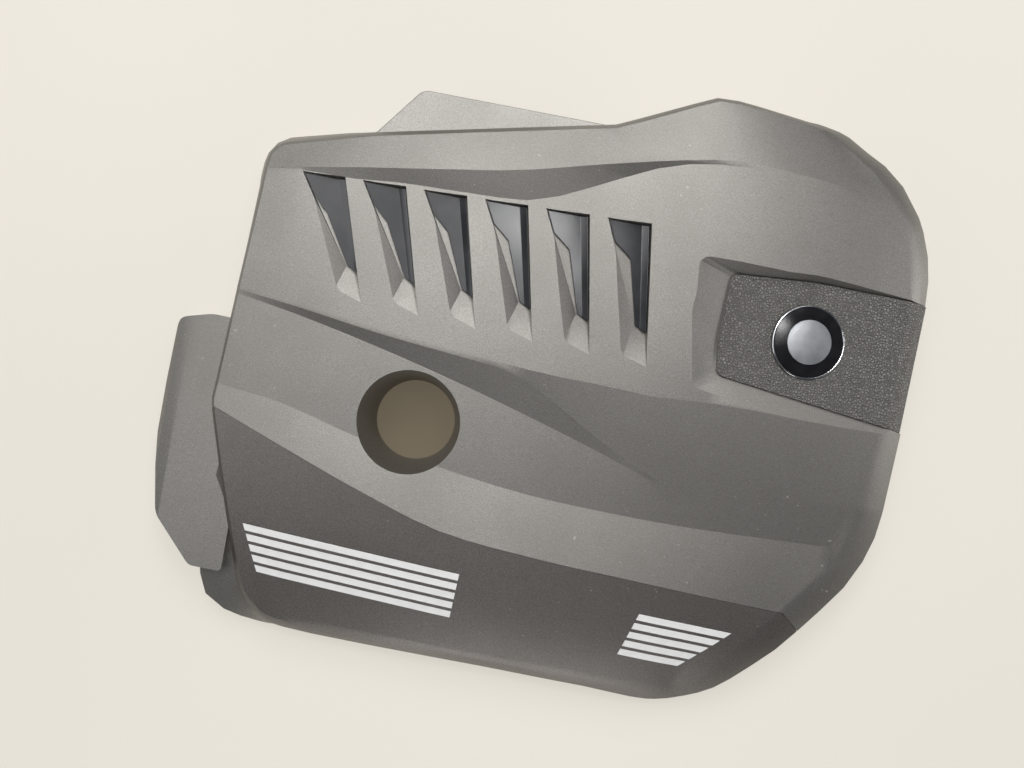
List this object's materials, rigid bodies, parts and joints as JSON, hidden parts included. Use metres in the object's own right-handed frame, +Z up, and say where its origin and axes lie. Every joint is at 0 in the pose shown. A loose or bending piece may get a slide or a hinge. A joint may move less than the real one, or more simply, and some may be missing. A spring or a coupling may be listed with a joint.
{
  "type": "engine cover",
  "caption": "Moulded engine cover with slanted gills, an oil filler opening, a badge bay and a front trim panel with accent stripes.",
  "frame": {"origin": "under the middle of the cover's overall box, on the surface that the skirt stands on", "axes": "+X along the engine towards the badge bay, +Y to the back of the engine bay, +Z up out of the cover"},
  "size_m": [0.7237, 0.5966, 0.09],
  "materials": {
    "cover_plastic": "satin, fine metallic grain",
    "panel_plastic": "satin, fine grain",
    "plate_plastic": "leather grain",
    "badge_black": "gloss",
    "badge_rim": "polished",
    "badge_satin": "satin",
    "insert_black": "gloss",
    "stripe_silver": "satin",
    "foam": "matt foam skin",
    "clip_plastic": "matt",
    "grommet_rubber": "matt"
  },
  "bodies": {
    "root": {"cover_shell": "cover_plastic", "front_trim_panel": "panel_plastic", "badge_plate": "plate_plastic", "badge_base": "badge_black", "badge_ring": "badge_rim", "badge_centre": "badge_satin", "gill_insert_1": "insert_black", "gill_insert_2": "insert_black", "gill_insert_3": "insert_black", "gill_insert_4": "insert_black", "gill_insert_5": "insert_black", "gill_insert_6": "insert_black", "accent_stripes_left": "stripe_silver", "accent_stripes_right": "stripe_silver", "foam_pad": "foam", "foam_clips": "clip_plastic", "grommet_front_left": "grommet_rubber", "grommet_front_right": "grommet_rubber", "grommet_back_left": "grommet_rubber", "grommet_back_right": "grommet_rubber"}
  },
  "joints": []
}
